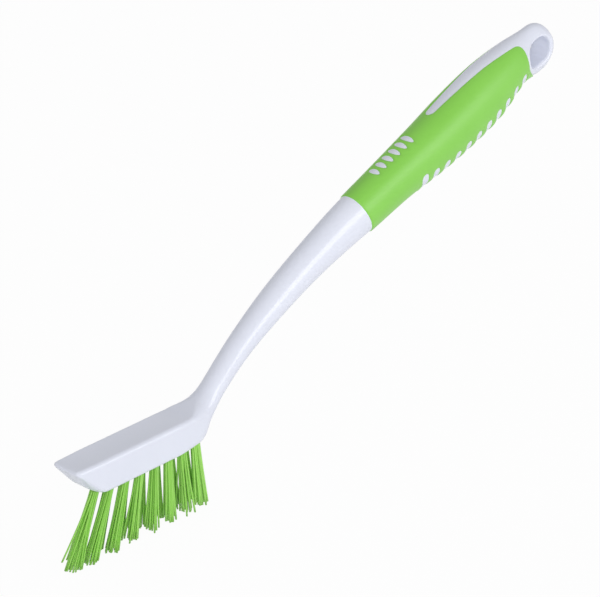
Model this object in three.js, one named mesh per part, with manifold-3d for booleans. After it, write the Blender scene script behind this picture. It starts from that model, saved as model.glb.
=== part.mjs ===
import * as THREE from 'three';
import { mergeVertices } from 'three/addons/utils/BufferGeometryUtils.js';
import Module from 'manifold-3d';

// Grout brush: a white moulded body (flat-topped head, bent neck, grip core, hang loop), a soft green
// sleeve moulded round the grip core, and two staggered rows of bristle tufts held by flat metal anchors.
// Millimetres. X runs from the nose of the head to the hang loop, Y across the brush, Z up, tips at Z = 0.

const degrees = THREE.MathUtils.degToRad;

// Fit between neighbouring pieces, how far a cutting solid runs past what it cuts, and how far one
// reaches that cuts right through
const clearance = 0.3;
const cutPast = 3;
const cutThrough = 24;

// Head
const headHeight = 12.1;
const headWidth = 13.2;
const headEdgeRadius = 1.3;
const thinEdgeShare = 0.45;
const noseEdge = 1.2;
const noseRake = degrees(31.5);
const noseRounding = 11;
const heelWall = 1.1;
const heelAngle = degrees(56);
const heelRounding = 3.6;

// Path of the handle: level head, bend, arched neck, slightly hollow grip, drooping loop
const bendBeforeHeel = 10.5;
const bendRadius = 20;
const neckAngle = degrees(41.5);
const neckLength = 91.2;
const gripAngle = degrees(19);
const gripLength = 92;
const droopBeforeTail = 8;
const tailAngle = degrees(20.8);
const loopDroop = degrees(8.5);

// Reach above and below the path and width, at shares of the neck's and the grip's length
const neckProfile = [
  { share: 0.035, above: 4, below: 4.65, width: 8.6 },
  { share: 0.255, above: 5, below: 4.4, width: 9.2 },
  { share: 0.485, above: 5.75, below: 5.75, width: 10.8 },
  { share: 0.735, above: 6.55, below: 7.3, width: 11.9 },
];
const gripProfile = [
  { share: 0, above: 8.25, below: 8.8, width: 13.5 },
  { share: 0.24, above: 9.6, below: 9.15, width: 14.8 },
  { share: 0.435, above: 10.65, below: 10.7, width: 16.7 },
  { share: 0.61, above: 11.9, below: 11.4, width: 17.9 },
  { share: 0.805, above: 12.5, below: 10.9, width: 17.4 },
  { share: 0.97, above: 11.25, below: 7.25, width: 15 },
];
const topBlend = 3;
const underBlend = 1.5;
const widthBlend = 9.3;
const narrowAfterBendStart = 5;
const roundness = 0.95;

// Loop and its hang hole
const hangHoleLength = 13.4;
const hangHoleHeight = 9.5;
const hangHoleLift = 1;
const wallBeforeHole = 2.1;
const wallAboveHole = 4.5;
const wallBelowHole = 5.5;
const wallPastHole = 4;
const loopWidth = 11.1;
const loopWidestPastHole = 1.55;
const loopEndTurn = degrees(80);

// Grip sleeve
const sleeveThickness = 1.7;
const sleeveProud = 0.35;
const ribHeight = 0.3;
const ribFadeFrom = degrees(20);
const ribFadeTo = degrees(53);

// Half-moon windows on the spine
const moonCount = 6;
const moonPitch = 3.59;
const moonFirstAt = 14.2;
const moonLength = 2.2;
const moonFirstWidth = 5.6;
const moonLastWidth = 6.7;

// Slot windows round the underside. Their tops lie on a hanging line that rises to both ends.
const slotCount = 11;
const slotFirstAt = 29.5;
const slotLastBeforeTail = 3.6;
const slotWidth = 3.4;
const slotTopDepth = 4.9;
const slotFrontRise = 2.9;
const slotFrontEasing = 8;
const slotTailRise = 4.8;
const slotTailEasing = 2.6;

// White tongue by the spine, from the tail into the sleeve, a little to the far side
const tongueAfterMoons = 13.6;
const tongueTipWidth = 4.2;
const tongueTailWidth = 8.6;
const tongueTipOffset = 0.5;
const tongueTailOffset = 0.6;
const tongueTipLength = 2.4;
const tongueTipTurn = degrees(8);

// Bristles
const bristleLength = 25.6;
const tuftsNear = 8;
const tuftPitch = 6.6;
const firstTuftX = 10.2;
const rowGap = 5;
const farRowShift = 0.85;
const tuftHoleDiameter = 4.2;
const tuftHoleDepth = 7;
const tuftSpread = 1.3;
const frontLean = degrees(26);
const rearLean = degrees(-2.5);
const leanEasing = 0.9;
const strandsPerTuft = 21;
const strandRadius = 0.23;
const raggedTips = 1;
const tipRise = 1.5;
const flatTipShare = 0.4;
const raggedShift = 0.37;
const sliceThickness = 0.7;
const sliceRecess = 0.2;
const pocketRim = 1.5;

// Tuft anchors
const anchorThickness = 0.4;
const anchorHeight = 2;
const anchorFromHoleEnd = 0.8;

// Facets
const cornerSteps = 5;
const coreCornerSteps = 3;
const bodyRings = { nose: 9, head: 2, bend: 10, neckRoot: 5, neck: 9, grip: 10, loop: 3, loopEnd: 6 };
const coreRings = 6;
const sleeveFrontRings = 6;
const ringsPerRib = 4;
const tongueRings = 5;
const tongueTipRings = 4;
const holeSteps = 8;
const slotSteps = 4;
const moonSteps = 6;
const plateSteps = 6;
const tuftSides = 8;

// Lengths and heights that follow from the sizes above
const headBottomZ = bristleLength;
const headTopZ = headBottomZ + headHeight;
const headMiddleZ = headBottomZ + headHeight / 2;
const lastTuftX = firstTuftX + (tuftsNear - 1) * tuftPitch;
const heelX = lastTuftX + tuftHoleDiameter / 2 + heelWall;
const bendStart = heelX - bendBeforeHeel;
const bendEnd = bendStart + bendRadius * neckAngle;
const seamAt = bendEnd + neckLength;
const tailAt = seamAt + gripLength;
const hangHoleAt = tailAt + wallBeforeHole + hangHoleLength / 2;
const loopMiddleAt = hangHoleAt + loopWidestPastHole;
const loopEnd = hangHoleAt + hangHoleLength / 2 + wallPastHole;
const slotPitch = (gripLength - slotFirstAt - slotLastBeforeTail) / (slotCount - 1);
const tongueStartAt = moonFirstAt + (moonCount - 1) * moonPitch + tongueAfterMoons;

const wasm = await Module();
wasm.setup();

const mix = THREE.MathUtils.lerp;
const smoothstep = THREE.MathUtils.smoothstep;

function smoothMin(a, b, reach) {
  const near = Math.max(reach - Math.abs(a - b), 0) / reach;
  return Math.min(a, b) - near * near * reach / 4;
}

function smoothMax(a, b, reach) {
  return -smoothMin(-a, -b, reach);
}

// Value at s of a smooth curve through stations [s, value], flat beyond the first and the last.
function curveThrough(stations, s) {
  const last = stations.length - 1;
  if (s <= stations[0][0]) return stations[0][1];
  if (s >= stations[last][0]) return stations[last][1];
  const k = stations.findIndex(([at]) => at > s) - 1;
  const slope = (i) => {
    if (i === 0 || i === last) return 0;
    return (stations[i + 1][1] - stations[i - 1][1]) / (stations[i + 1][0] - stations[i - 1][0]);
  };
  const [s0, v0] = stations[k];
  const [s1, v1] = stations[k + 1];
  const span = s1 - s0;
  const t = (s - s0) / span;
  return v0 * (1 + 2 * t) * (1 - t) ** 2 + v1 * t * t * (3 - 2 * t)
    + slope(k) * span * t * (1 - t) ** 2 - slope(k + 1) * span * t * t * (1 - t);
}

// Path

const pathArcs = [
  { length: bendStart, from: 0, to: 0 },
  { length: bendEnd - bendStart, from: 0, to: neckAngle },
  { length: neckLength, from: neckAngle, to: gripAngle },
  { length: gripLength - droopBeforeTail, from: gripAngle, to: tailAngle },
  { length: loopEnd - tailAt + droopBeforeTail, from: tailAngle, to: tailAngle - loopDroop },
];

// Frame of the path at distance s from the nose: place, forward direction and upward normal.
function pathFrame(s) {
  const place = new THREE.Vector3(0, 0, headMiddleZ);
  let left = s;
  let angle = 0;
  for (const [i, arc] of pathArcs.entries()) {
    const step = i === pathArcs.length - 1 ? left : Math.min(left, arc.length);
    const turn = (arc.to - arc.from) * step / arc.length;
    angle = arc.from + turn;
    const chord = Math.abs(turn) < 1e-9 ? step : step * Math.sin(turn / 2) / (turn / 2);
    place.x += chord * Math.cos(arc.from + turn / 2);
    place.z += chord * Math.sin(arc.from + turn / 2);
    left -= step;
    if (left <= 0) break;
  }
  return {
    angle,
    place,
    forward: new THREE.Vector3(Math.cos(angle), 0, Math.sin(angle)),
    normal: new THREE.Vector3(-Math.sin(angle), 0, Math.cos(angle)),
  };
}

function pathPoint(frame, y, n) {
  return frame.place.clone().addScaledVector(frame.normal, n).setY(y);
}

// Sections of the white body

const profile = [
  ...neckProfile.map((station) => ({ ...station, at: bendEnd + station.share * neckLength })),
  ...gripProfile.map((station) => ({ ...station, at: seamAt + station.share * gripLength })),
  {
    at: loopMiddleAt,
    above: hangHoleHeight / 2 + hangHoleLift + wallAboveHole,
    below: hangHoleHeight / 2 - hangHoleLift + wallBelowHole,
    width: loopWidth,
  },
];
const tops = profile.map(({ at, above }) => [at, above]);
const undersides = profile.map(({ at, below }) => [at, below]);
const widths = profile.map(({ at, width }) => [at, width]);

// Distance from the level middle of the head down to its under-face, with the raked nose.
function headDepth(x) {
  const toRake = x / Math.tan(noseRake) + noseEdge - headHeight / 2;
  return smoothMin(headHeight / 2, toRake, noseRounding);
}

function headUnderZ(x) {
  return headMiddleZ - headDepth(x);
}

// Share of the section that is left at s on the round end of the loop.
function loopEndShare(s) {
  const past = Math.max(s - loopMiddleAt, 0) / (loopEnd - loopMiddleAt);
  return Math.sqrt(Math.max(1 - past * past, 0));
}

function handleReach(s) {
  const top = curveThrough(tops, s);
  const underside = curveThrough(undersides, s);
  const middle = (top - underside) / 2;
  const half = (top + underside) / 2 * loopEndShare(s);
  return { above: half + middle, below: half - middle };
}

function handleWidth(s) {
  return curveThrough(widths, s) * Math.sqrt(loopEndShare(s));
}

// Section at s: reach above and below the path, half width, and how round its corners are (0 to 1).
function bodySection(s) {
  if (s <= bendStart) {
    return { above: headHeight / 2, below: headDepth(s), half: headWidth / 2, round: 0 };
  }
  const { angle, place } = pathFrame(s);
  const handle = handleReach(s);
  const intoBend = smoothstep(s, bendStart, bendEnd);
  const toTop = (headTopZ - place.z) / Math.cos(angle);
  const toBottom = (place.z - headBottomZ) / Math.cos(angle);
  const toHeel = ((heelX - place.x) * Math.sin(heelAngle) - (headBottomZ - place.z) * Math.cos(heelAngle))
    / Math.cos(heelAngle - angle);
  const heelDepth = smoothMin(toBottom, toHeel, heelRounding);
  const narrowing = smoothstep(s, bendStart + narrowAfterBendStart, bendEnd + widthBlend);
  return {
    above: smoothMax(toTop, handle.above, topBlend * intoBend + underBlend),
    below: s > bendEnd + widthBlend ? handle.below : smoothMax(heelDepth, handle.below, underBlend),
    half: mix(headWidth, handleWidth(s), narrowing) / 2,
    round: narrowing,
  };
}

// Ring of points round a section, grown outwards by grow, with a bulge that depends on the turn round it.
function sectionRing(s, { grow = 0, steps = cornerSteps, bulgeAt = () => 0 } = {}) {
  const frame = pathFrame(s);
  const section = bodySection(s);
  const above = section.above + grow;
  const below = section.below + grow;
  const half = section.half + grow;
  const edge = Math.min(headEdgeRadius, thinEdgeShare * (above + below));
  const radiusY = mix(edge, half * roundness, section.round);
  const radiusN = mix(edge, (above + below) / 2 * roundness, section.round);
  const points = [];
  for (let corner = 0; corner < 4; corner++) {
    const sideY = corner === 0 || corner === 3 ? 1 : -1;
    const centreN = corner < 2 ? above - radiusN : radiusN - below;
    for (let k = 0; k <= steps; k++) {
      const turn = (corner + k / steps) * Math.PI / 2;
      const y = sideY * (half - radiusY) + radiusY * Math.cos(turn);
      const n = centreN + radiusN * Math.sin(turn);
      const bulge = bulgeAt(turn);
      points.push(pathPoint(frame, y + bulge * Math.cos(turn), n + bulge * Math.sin(turn)));
    }
  }
  return points;
}

// Solids

function geometrySolid(geometry) {
  const bare = geometry.clone();
  bare.deleteAttribute('normal');
  bare.deleteAttribute('uv');
  const merged = mergeVertices(bare, 1e-4);
  return new wasm.Manifold(new wasm.Mesh({
    numProp: 3,
    vertProperties: merged.attributes.position.array,
    triVerts: Uint32Array.from(merged.index.array),
  }));
}

function solidGeometry(solid) {
  const mesh = solid.getMesh();
  const geometry = new THREE.BufferGeometry();
  geometry.setAttribute('position', new THREE.BufferAttribute(mesh.vertProperties, 3));
  geometry.setIndex(new THREE.BufferAttribute(mesh.triVerts, 1));
  geometry.computeVertexNormals();
  return geometry;
}

// Closed solid through rings of equally many points, with flat ends.
function loft(rings) {
  const count = rings[0].length;
  const points = rings.flat();
  const index = [];
  for (let r = 0; r + 1 < rings.length; r++) {
    for (let i = 0; i < count; i++) {
      const j = (i + 1) % count;
      const [a, b, c, d] = [r * count + i, r * count + j, (r + 1) * count + j, (r + 1) * count + i];
      index.push(a, b, c, a, c, d);
    }
  }
  for (let i = 1; i + 1 < count; i++) {
    const end = points.length - count;
    index.push(0, i + 1, i, end, end + i, end + i + 1);
  }
  const geometry = new THREE.BufferGeometry().setFromPoints(points);
  geometry.setIndex(index);
  return geometrySolid(geometry);
}

function evenly(from, to, count) {
  return Array.from({ length: count + 1 }, (_, i) => mix(from, to, i / count));
}

// Extrusion of a shape drawn in the path's forward and upward directions, right across the brush.
function acrossSolid(shape, s, width, curveSegments) {
  const { place, forward, normal } = pathFrame(s);
  const geometry = new THREE.ExtrudeGeometry(shape, { depth: width, bevelEnabled: false, curveSegments });
  geometry.translate(0, 0, -width / 2);
  const across = new THREE.Vector3(0, -1, 0);
  geometry.applyMatrix4(new THREE.Matrix4().makeBasis(forward, normal, across).setPosition(place));
  return geometrySolid(geometry);
}

// White body

function bodyLoft() {
  const noseEnd = 2 * noseRounding;
  const neckRootEnd = bendEnd + widthBlend;
  const stations = [
    ...evenly(0, noseEnd, bodyRings.nose),
    ...evenly(noseEnd, bendStart, bodyRings.head).slice(1),
    ...evenly(bendStart, bendEnd, bodyRings.bend).slice(1),
    ...evenly(bendEnd, neckRootEnd, bodyRings.neckRoot).slice(1),
    ...evenly(neckRootEnd, seamAt, bodyRings.neck).slice(1),
    ...evenly(seamAt, tailAt, bodyRings.grip).slice(1),
    ...evenly(tailAt, loopMiddleAt, bodyRings.loop).slice(1),
  ];
  const endTurns = evenly(0, loopEndTurn, bodyRings.loopEnd).slice(1);
  const endStations = endTurns.map((turn) => mix(loopMiddleAt, loopEnd, Math.sin(turn)));
  return loft([...stations, ...endStations].map((s) => sectionRing(s)));
}

// Core under the sleeve, grown by grow, running a little past both ends of the sleeve.
function coreLoft(grow) {
  const inside = { grow: grow - sleeveThickness, steps: coreCornerSteps };
  const stations = evenly(seamAt - cutPast, tailAt + cutPast, coreRings);
  return loft(stations.map((s) => sectionRing(s, inside)));
}

function hangHole() {
  const radius = hangHoleHeight / 2;
  const reach = (hangHoleLength - hangHoleHeight) / 2;
  const shape = new THREE.Shape();
  shape.absarc(reach, hangHoleLift, radius, -Math.PI / 2, Math.PI / 2);
  shape.absarc(-reach, hangHoleLift, radius, Math.PI / 2, 3 * Math.PI / 2);
  return acrossSolid(shape, hangHoleAt, 2 * cutThrough, holeSteps);
}

// Islands of the core that stand up into the sleeve's windows, each grown by grow

function moonIsland(i, grow) {
  const s = seamAt + moonFirstAt + i * moonPitch;
  const { place, forward, normal } = pathFrame(s);
  const half = mix(moonFirstWidth, moonLastWidth, i / (moonCount - 1)) / 2 + grow;
  const shape = new THREE.Shape();
  shape.absellipse(-moonLength / 2 - grow, 0, moonLength + 2 * grow, half, -Math.PI / 2, Math.PI / 2);
  const geometry = new THREE.ExtrudeGeometry(
    shape, { depth: cutThrough, bevelEnabled: false, curveSegments: moonSteps });
  const across = new THREE.Vector3(0, 1, 0);
  geometry.applyMatrix4(new THREE.Matrix4().makeBasis(forward, across, normal).setPosition(place));
  return geometrySolid(geometry);
}

function slotIsland(i, grow) {
  const s = seamAt + slotFirstAt + i * slotPitch;
  const along = i / (slotCount - 1);
  const rise = slotFrontRise * (1 - along) ** slotFrontEasing + slotTailRise * along ** slotTailEasing;
  const top = rise - slotTopDepth;
  const half = slotWidth / 2 + grow;
  const shape = new THREE.Shape();
  shape.moveTo(-half, -cutThrough);
  shape.lineTo(half, -cutThrough);
  shape.absarc(0, top - slotWidth / 2, half, 0, Math.PI);
  return acrossSolid(shape, s, 2 * cutThrough, slotSteps);
}

function tongueIsland(grow) {
  const start = seamAt + tongueStartAt;
  const tipEnd = start + tongueTipLength;
  const tip = evenly(tongueTipTurn, Math.PI / 2, tongueTipRings).map((turn) => ({
    s: tipEnd - (tongueTipLength + grow) * Math.cos(turn),
    share: Math.sin(turn),
  }));
  const rest = evenly(tipEnd, tailAt + cutPast, tongueRings).slice(1).map((s) => ({ s, share: 1 }));
  return loft([...tip, ...rest].map(({ s, share }) => {
    const frame = pathFrame(s);
    const along = Math.max(s - start, 0) / (tailAt - start);
    const half = (mix(tongueTipWidth, tongueTailWidth, along) / 2 + grow) * share;
    const middle = mix(tongueTipOffset, tongueTailOffset, along);
    const corners = [[half, 0], [half, cutThrough], [-half, cutThrough], [-half, 0]];
    return corners.map(([y, n]) => pathPoint(frame, middle + y, n));
  }));
}

function islands(grow) {
  const all = [tongueIsland(grow)];
  for (let i = 0; i < moonCount; i++) all.push(moonIsland(i, grow));
  for (let i = 0; i < slotCount; i++) all.push(slotIsland(i, grow));
  return all.reduce((sum, island) => sum.add(island));
}

// Room that the sleeve takes out of the body
function sleeveGroove() {
  const outside = { grow: cutPast, steps: coreCornerSteps };
  const band = loft(evenly(seamAt, tailAt, coreRings).map((s) => sectionRing(s, outside)));
  return band.subtract(coreLoft(0)).subtract(islands(0));
}

// Sleeve: the band between the seams, proud of the body, ribbed between its slots. A rib's bulge fades in
// round the underside, and no ring lies in the middle of a slot, where the sleeve is open.
function sleeveSolid() {
  const ribbed = (s) => {
    const phase = (s - seamAt - slotFirstAt) / slotPitch;
    const inside = phase > -0.5 && phase < slotCount - 0.5;
    const swell = inside ? ribHeight * (1 - Math.cos(2 * Math.PI * phase)) / 2 : 0;
    return (turn) => swell * smoothstep(-Math.sin(turn), Math.sin(ribFadeFrom), Math.sin(ribFadeTo));
  };
  const first = seamAt + clearance;
  const last = tailAt - clearance;
  const ribsFrom = seamAt + slotFirstAt - slotPitch / 2;
  const ribsTo = ribsFrom + slotCount * slotPitch;
  const inSlotMiddle = (ring) => ring % ringsPerRib === ringsPerRib / 2;
  const stations = [
    ...evenly(first, ribsFrom, sleeveFrontRings),
    ...evenly(ribsFrom, ribsTo, slotCount * ringsPerRib).slice(1).filter((_, i) => !inSlotMiddle(i + 1)),
    last,
  ];
  const outer = loft(stations.map((s) => sectionRing(s, { grow: sleeveProud, bulgeAt: ribbed(s) })));
  return outer.subtract(coreLoft(clearance)).subtract(islands(clearance));
}

// Tufts: the near row at -Y, and the far row at +Y, each far tuft just ahead of a near one

const pocketFromX = firstTuftX - tuftHoleDiameter / 2 - clearance;
const pocketToX = lastTuftX + tuftHoleDiameter / 2 + clearance;
const pocketHalf = headWidth / 2 - pocketRim;
const pocketDepth = sliceRecess + sliceThickness + clearance;

function alongRows(x) {
  return (x - firstTuftX) / (lastTuftX - firstTuftX);
}

function leanAt(x) {
  return mix(rearLean, frontLean, 0.5 + 0.5 * Math.cos(Math.PI * alongRows(x) ** leanEasing));
}

function tuftRow(side, count, shift) {
  return Array.from({ length: count }, (_, i) => {
    const x = firstTuftX + (i + shift) * tuftPitch;
    const seed = side > 0 ? i + tuftsNear : i;
    return { x, y: side * rowGap / 2, z: headUnderZ(x), lean: leanAt(x), tipZ: tipRise * alongRows(x), seed };
  });
}

const nearRow = tuftRow(-1, tuftsNear, 0);
const farRow = tuftRow(1, tuftsNear - 1, farRowShift);
const tufts = [...nearRow, ...farRow];

// Matrix whose Z axis runs up a tuft's hole from the under-face of the head.
function tuftMatrix({ x, y, z, lean }) {
  return new THREE.Matrix4().makeRotationY(lean).setPosition(x, y, z);
}

function tuftCylinder(tuft, diameter, from, to) {
  const geometry = new THREE.CylinderGeometry(diameter / 2, diameter / 2, to - from, tuftSides);
  geometry.rotateX(Math.PI / 2);
  geometry.translate(0, 0, (from + to) / 2);
  return geometrySolid(geometry.applyMatrix4(tuftMatrix(tuft)));
}

// Plate that follows the under-face of the head, from x to x, y to y, and low to high above that face.
function underPlate(fromX, toX, fromY, toY, low, high) {
  const xs = evenly(fromX, toX, plateSteps);
  const shape = new THREE.Shape();
  shape.moveTo(fromX, headUnderZ(fromX) + low);
  for (const x of xs.slice(1)) shape.lineTo(x, headUnderZ(x) + low);
  for (const x of xs.slice().reverse()) shape.lineTo(x, headUnderZ(x) + high);
  const geometry = new THREE.ExtrudeGeometry(shape, { depth: toY - fromY, bevelEnabled: false });
  geometry.rotateX(Math.PI / 2);
  geometry.translate(0, toY, 0);
  return geometrySolid(geometry);
}

function bristlePocket() {
  const pocket = underPlate(pocketFromX, pocketToX, -pocketHalf, pocketHalf, -cutPast, pocketDepth);
  const holes = tufts.map((tuft) => tuftCylinder(tuft, tuftHoleDiameter, 0, tuftHoleDepth));
  return holes.reduce((sum, hole) => sum.add(hole), pocket);
}

const anchorWidth = tuftHoleDiameter - 2 * clearance;
const anchorMiddle = tuftHoleDepth - clearance - anchorFromHoleEnd - anchorHeight / 2;

function tuftAnchor() {
  return new THREE.BoxGeometry(anchorThickness, anchorWidth, anchorHeight);
}

// Packed root of a tuft in its hole, folded round the anchor.
function tuftRoot(tuft) {
  const root = tuftCylinder(tuft, tuftHoleDiameter - 2 * clearance, sliceRecess, tuftHoleDepth - clearance);
  const window = new THREE.BoxGeometry(
    anchorThickness + 2 * clearance, 2 * tuftHoleDiameter, anchorHeight + 2 * clearance);
  window.translate(0, 0, anchorMiddle);
  return root.subtract(geometrySolid(window.applyMatrix4(tuftMatrix(tuft))));
}

// Three-sided strand i of a tuft, from inside the slice to its tip. The strands stand in a sunflower pattern,
// and their tips end at the tuft's own height or up to raggedTips above it.
function strand(tuft, i) {
  const goldenShare = (Math.sqrt(5) - 1) / 2;
  const goldenTurn = Math.PI * (3 - Math.sqrt(5));
  const spot = Math.sqrt((i + 0.5) / strandsPerTuft);
  const turn = i * goldenTurn + tuft.seed;
  const rootReach = tuftHoleDiameter / 2 - clearance - strandRadius;
  const across = new THREE.Vector2(Math.cos(turn), Math.sin(turn)).multiplyScalar(spot);
  const uneven = (i * goldenShare + tuft.seed * raggedShift) % 1;
  const tipZ = tuft.tipZ + raggedTips * Math.max(0, uneven - flatTipShare) / (1 - flatTipShare);
  const rootX = tuft.x + across.x * rootReach;
  const rootZ = headUnderZ(rootX) + sliceRecess + sliceThickness / 2;
  const ring = (z) => {
    const down = (tuft.z - z) / tuft.z;
    const reach = mix(rootReach, rootReach * tuftSpread, Math.max(down, 0));
    const x = tuft.x + across.x * reach - (tuft.z - z) * Math.tan(tuft.lean);
    const y = tuft.y + across.y * reach;
    return [0, 1, 2].map((k) => {
      const side = turn + k * 2 * Math.PI / 3;
      return new THREE.Vector3(x + strandRadius * Math.cos(side), y + strandRadius * Math.sin(side), z);
    });
  };
  return loft([ring(tipZ), ring(rootZ)]);
}

// One group of tufts on its slice of the under-face.
function bristleGroup(group, fromX, toX) {
  const side = Math.sign(group[0].y);
  const [inner, outer] = [side * clearance / 2, side * (pocketHalf - clearance)];
  const [fromY, toY] = [Math.min(inner, outer), Math.max(inner, outer)];
  const slice = underPlate(fromX, toX, fromY, toY, sliceRecess, sliceRecess + sliceThickness);
  const pieces = [];
  for (const tuft of group) {
    pieces.push(tuftRoot(tuft));
    for (let i = 0; i < strandsPerTuft; i++) pieces.push(strand(tuft, i));
  }
  return pieces.reduce((sum, piece) => sum.add(piece), slice);
}

// Assembly

const white = { color: 0xf1f3f8, roughness: 0.28, metalness: 0 };
const green = { color: 0x86cf56, roughness: 0.62, metalness: 0 };
const filament = { color: 0x78c63e, roughness: 0.4, metalness: 0 };
const steel = { color: 0xb8bbc0, roughness: 0.35, metalness: 1 };

const brush = new THREE.Group();

function addPiece(name, geometry, finish) {
  const piece = new THREE.Mesh(geometry, new THREE.MeshStandardMaterial(finish));
  piece.name = name;
  brush.add(piece);
  return piece;
}

const body = bodyLoft().subtract(sleeveGroove()).subtract(hangHole()).subtract(bristlePocket());
addPiece('handle', solidGeometry(body), white);
addPiece('grip_sleeve', solidGeometry(sleeveSolid()), green);

function addRow(row, name) {
  const frontCount = Math.ceil(row.length / 2);
  const splitX = (row[frontCount - 1].x + row[frontCount].x) / 2;
  const front = bristleGroup(row.slice(0, frontCount), pocketFromX + clearance, splitX - clearance / 2);
  const rear = bristleGroup(row.slice(frontCount), splitX + clearance / 2, pocketToX - clearance);
  addPiece(`bristles_${name}_front`, solidGeometry(front), filament);
  addPiece(`bristles_${name}_rear`, solidGeometry(rear), filament);
}

addRow(nearRow, 'near');
addRow(farRow, 'far');

for (const [i, tuft] of tufts.entries()) {
  const anchor = addPiece(`tuft_anchor_${String(i + 1).padStart(2, '0')}`, tuftAnchor(), steel);
  const place = new THREE.Vector3(0, 0, anchorMiddle).applyMatrix4(tuftMatrix(tuft));
  anchor.position.copy(place);
  anchor.rotation.y = tuft.lean;
}

// Origin under the middle of the brush, with the bristle tips on Z = 0
const extent = new THREE.Box3().setFromObject(brush);
brush.position.x = -(extent.min.x + extent.max.x) / 2;

export default brush;
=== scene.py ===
"""Looks of a grout brush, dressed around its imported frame.

A white moulded handle, a soft green grip skin with windows in it, and two staggered rows of bristle tufts.
Shapes are worked out in millimetres along the handle's path, from the nose of the head to the hang loop,
and go into the frame in metres.
"""
import math

import bmesh
import bpy
import numpy as np
from mathutils import Matrix, Vector


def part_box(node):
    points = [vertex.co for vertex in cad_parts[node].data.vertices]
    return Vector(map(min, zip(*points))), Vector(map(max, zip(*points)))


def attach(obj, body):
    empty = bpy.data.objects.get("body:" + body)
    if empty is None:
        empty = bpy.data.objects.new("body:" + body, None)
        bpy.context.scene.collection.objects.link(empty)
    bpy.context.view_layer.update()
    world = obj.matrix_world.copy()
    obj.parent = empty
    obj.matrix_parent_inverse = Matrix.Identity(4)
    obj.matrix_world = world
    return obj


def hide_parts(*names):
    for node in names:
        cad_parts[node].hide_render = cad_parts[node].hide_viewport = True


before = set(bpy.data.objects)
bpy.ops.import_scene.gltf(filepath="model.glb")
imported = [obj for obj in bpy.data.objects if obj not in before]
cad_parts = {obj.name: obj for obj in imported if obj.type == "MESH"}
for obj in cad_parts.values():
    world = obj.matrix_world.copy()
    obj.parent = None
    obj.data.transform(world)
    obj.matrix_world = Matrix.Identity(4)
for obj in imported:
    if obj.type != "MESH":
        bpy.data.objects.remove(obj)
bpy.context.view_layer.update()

MM = 0.001
TINY = 1e-6

# Head
HEAD_HEIGHT = 12.1
HEAD_WIDTH = 13.2
HEAD_EDGE = 1.5
HEAD_FLARE = 0.065
HEAD_DISH = 0.2
DISH_RUN_IN = 5
THIN_EDGE_SHARE = 0.45
NOSE_TIP = 0.93
NOSE_CORNER = 2.2
NOSE_EDGE = 1.2
NOSE_RAKE = math.radians(31.5)
NOSE_ROUNDING = 11
NOSE_KEEL_RUN = 13
NOSE_KEEL_SHARE = 0.7
BRISTLE_LENGTH = 25.6
HEEL_WALL = 1.1
HEEL_ANGLE = math.radians(56)
HEEL_ROUNDING = 3.6

# Tufts
TUFTS_NEAR = 8
TUFT_PITCH = 6.6
FIRST_TUFT_X = 10.2
ROW_GAP = 5
FAR_ROW_SHIFT = 0.85
NEAR_ROW_DRIFT = 0.8
TUFT_HOLE = 4.2
FRONT_LEAN = math.radians(26)
REAR_LEAN = math.radians(-2.5)
LEAN_EASING = 0.9
TIP_RISE = 1.5
FRONT_TRIM = 0.6
FRONT_TRIM_SHARE = 0.1

# Path of the handle: level head, bend, arched neck, slightly hollow grip, drooping loop
BEND_BEFORE_HEEL = 10.5
BEND_RADIUS = 20
NECK_ANGLE = math.radians(41.5)
NECK_LENGTH = 91.2
GRIP_ANGLE = math.radians(19)
GRIP_LENGTH = 92
DROOP_BEFORE_TAIL = 8
TAIL_ANGLE = math.radians(20.8)
LOOP_DROOP = math.radians(8.5)

# Share of the neck's or the grip's length, reach above the path, reach below it, and width
NECK_PROFILE = [
    (0.035, 4, 4.65, 8.6),
    (0.255, 5, 4.4, 9.2),
    (0.485, 5.75, 5.75, 10.8),
    (0.735, 6.55, 7.3, 11.9),
]
GRIP_PROFILE = [
    (0, 8.25, 8.8, 13.5),
    (0.24, 9.6, 9.15, 14.8),
    (0.435, 10.65, 10.7, 16.7),
    (0.61, 11.9, 11.4, 17.9),
    (0.805, 12.5, 10.9, 17.4),
    (0.97, 11.25, 7.25, 15),
]
TOP_BLEND = 5.5
UNDER_BLEND = 1.5
WIDTH_BLEND = 9.3
NARROW_AFTER_BEND_START = 5
ROUND_AFTER_BEND_START = 4
ROUND_PAST_BEND = 4
UNDER_ROUND_BEFORE_BEND = 4

# Loop and its hang hole
HOLE_LENGTH = 13.4
HOLE_HEIGHT = 9.5
HOLE_LIFT = 1
WALL_BEFORE_HOLE = 2.1
WALL_ABOVE_HOLE = 4.3
WALL_BELOW_HOLE = 5.5
WALL_PAST_HOLE = 3.6
LOOP_WIDTH = 11.1
LOOP_WIDEST_PAST_HOLE = 1.55
LOOP_END_POWER = 2.2
HOLE_RIM = 1

# Windows in the grip skin
MOON_COUNT = 6
MOON_PITCH = 3.74
MOON_FIRST_AT = 14.4
MOON_LENGTH = 1.4
MOON_FIRST_WIDTH = 5.5
MOON_LAST_WIDTH = 6.9
SLOT_COUNT = 11
SLOT_FIRST_AT = 29.9
SLOT_LAST_BEFORE_TAIL = 3.1
SLOT_WIDTH = 3.2
SLOT_TOP_DEPTH = 5.1
SLOT_FRONT_RISE = 2.9
SLOT_FRONT_EASING = 8
SLOT_TAIL_RISE = 4.4
SLOT_TAIL_EASING = 2.6
TONGUE_AFTER_MOONS = 12.6
TONGUE_TIP_WIDTH = 3.5
TONGUE_TAIL_WIDTH = 8.6
TONGUE_TIP_OFFSET = 0.8
TONGUE_TAIL_OFFSET = 0.6
TONGUE_TIP_LENGTH = 2.4
TONGUE_CORNER = 3.4

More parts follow.
